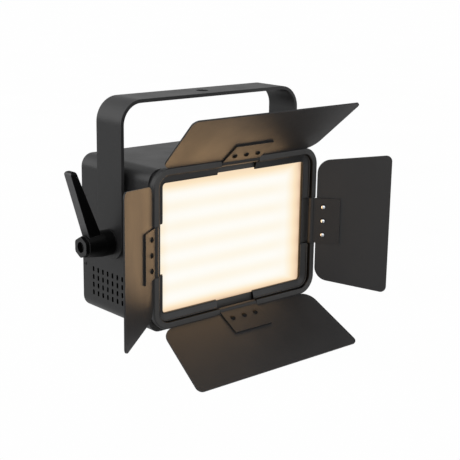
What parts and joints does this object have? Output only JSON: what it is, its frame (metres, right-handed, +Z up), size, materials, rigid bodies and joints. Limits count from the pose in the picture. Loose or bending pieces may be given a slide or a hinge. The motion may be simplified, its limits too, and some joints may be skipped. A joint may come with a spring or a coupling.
{
  "type": "led panel light with barn doors",
  "caption": "Rectangular LED panel light in a tilting yoke with a clamping lever, barn-door leaves on a hinged frame, and connectors on its back.",
  "frame": {"origin": "centre of the yoke's mounting hole on the outer face of its top bar", "axes": "+Z up out of the mounting hole, -Y the way the lamp shines at rest, +X to the right for someone facing the lamp's front"},
  "size_m": [0.329, 0.2119, 0.26],
  "materials": {
    "satin_coat": "satin black powder coat",
    "shell_coat": "satin black powder coat, fine texture",
    "leaf_coat": "satin black powder coat",
    "matt_black": "matt black",
    "pale_nylon": "matt",
    "fibre": "matt",
    "zinc_steel": "zinc plated",
    "black_steel": "black oxide",
    "rivet_steel": "bright",
    "black_anodised": "matt black anodised",
    "bare_aluminium": "satin",
    "diffuser_sheet": "emissive, warm white, lightly frosted",
    "white_inner": "white",
    "white_board": "white solder mask",
    "led_phosphor": "emissive, warm white LED",
    "green_board": "green solder mask",
    "brass_post": "satin",
    "brass_contact": "bright",
    "dark_lens": "gloss, smoked",
    "black_plastic": "satin",
    "black_rubber": "matt",
    "blue_plastic": "satin blue",
    "grey_plastic": "satin grey",
    "red_wire": "satin"
  },
  "bodies": {
    "yoke_frame": {"yoke": "satin_coat", "pivot_bushes": "pale_nylon", "pivot_washers": "black_steel", "friction_spacers": "fibre"},
    "head": {"housing_shell": "shell_coat", "front_bezel": "matt_black", "diffuser": "diffuser_sheet", "light_box": "white_inner", "led_board": "white_board", "led_chips": "led_phosphor", "heat_sink": "black_anodised", "stack_screws": "zinc_steel", "trunnion_inserts": "zinc_steel", "pivot_bolt": "black_steel", "barndoor_frame": "satin_coat", "frame_screws": "zinc_steel", "hinge_pins": "zinc_steel", "rear_panel": "shell_coat", "shell_screws": "black_steel", "panel_screws": "black_steel", "fan_frame": "black_plastic", "fan_guard": "black_steel", "driver_case": "bare_aluminium", "driver_board": "green_board", "control_board": "green_board", "standoffs": "brass_post", "display_lens": "dark_lens", "power_inlet": "blue_plastic", "power_outlet": "grey_plastic", "data_in": "zinc_steel", "data_out": "zinc_steel", "port_contacts": "brass_contact", "fuse_holder": "black_plastic", "safety_bracket": "satin_coat", "led_lead": "red_wire", "fan_lead": "black_rubber"},
    "lever_clamp": {"lever_insert": "zinc_steel", "lever_screw": "black_steel", "lever_spring": "zinc_steel"},
    "lever_grip": {"lever_handle": "black_plastic"},
    "top_leaf": {"leaf_top": "leaf_coat", "hinge_top": "satin_coat", "rivets_top": "rivet_steel"},
    "bottom_leaf": {"leaf_bottom": "leaf_coat", "hinge_bottom": "satin_coat", "rivets_bottom": "rivet_steel"},
    "left_leaf": {"leaf_left": "leaf_coat", "hinge_left": "satin_coat", "rivets_left": "rivet_steel"},
    "right_leaf": {"leaf_right": "leaf_coat", "hinge_right": "satin_coat", "rivets_right": "rivet_steel"},
    "rotor": {"fan_rotor": "black_plastic"},
    "latch": {"data_out_latch": "zinc_steel"},
    "fuse_knob": {"fuse_cap": "black_plastic"},
    "key_menu": {"button_menu": "black_rubber"},
    "key_down": {"button_down": "black_rubber"},
    "key_up": {"button_up": "black_rubber"},
    "key_enter": {"button_enter": "black_rubber"}
  },
  "joints": [
    {"name": "tilt", "type": "hinge", "parent": "yoke_frame", "child": "head", "pos_m": [0, 0, -0.14], "axis": [1, 0, 0], "range_deg": [-12, 90]},
    {"name": "lever_swing", "type": "hinge", "parent": "head", "child": "lever_clamp", "pos_m": [0, 0, -0.14], "axis": [-1, 0, 0], "range_deg": [-30, 90]},
    {"name": "lever_pull", "type": "slide", "parent": "lever_clamp", "child": "lever_grip", "axis": [-1, 0, 0], "range_m": [0, 0.004]},
    {"name": "top_leaf_hinge", "type": "hinge", "parent": "head", "child": "top_leaf", "pos_m": [0, -0.0573, -0.064], "axis": [1, 0, 0], "range_deg": [-48, 102]},
    {"name": "bottom_leaf_hinge", "type": "hinge", "parent": "head", "child": "bottom_leaf", "pos_m": [0, -0.0573, -0.216], "axis": [-1, 0, 0], "range_deg": [-59, 91]},
    {"name": "left_leaf_hinge", "type": "hinge", "parent": "head", "child": "left_leaf", "pos_m": [-0.10525, -0.0573, -0.14], "axis": [0, 0, -1], "range_deg": [-131, 34]},
    {"name": "right_leaf_hinge", "type": "hinge", "parent": "head", "child": "right_leaf", "pos_m": [0.10525, -0.0573, -0.14], "axis": [0, 0, 1], "range_deg": [-110, 55]},
    {"name": "fan_spin", "type": "hinge", "parent": "head", "child": "rotor", "pos_m": [-0.058, 0.0495, -0.124], "axis": [0, 1, 0], "continuous": true},
    {"name": "press_menu", "type": "slide", "parent": "head", "child": "key_menu", "axis": [0, -1, 0], "range_m": [0, 0.0008]},
    {"name": "press_down", "type": "slide", "parent": "head", "child": "key_down", "axis": [0, -1, 0], "range_m": [0, 0.0008]},
    {"name": "press_up", "type": "slide", "parent": "head", "child": "key_up", "axis": [0, -1, 0], "range_m": [0, 0.0008]},
    {"name": "press_enter", "type": "slide", "parent": "head", "child": "key_enter", "axis": [0, -1, 0], "range_m": [0, 0.0008]},
    {"name": "latch_press", "type": "slide", "parent": "head", "child": "latch", "axis": [0, -1, 0], "range_m": [0, 0.0015]},
    {"name": "fuse_turn", "type": "hinge", "parent": "head", "child": "fuse_knob", "pos_m": [0, 0.0595, -0.196], "axis": [0, 1, 0], "range_deg": [0, 90]}
  ]
}
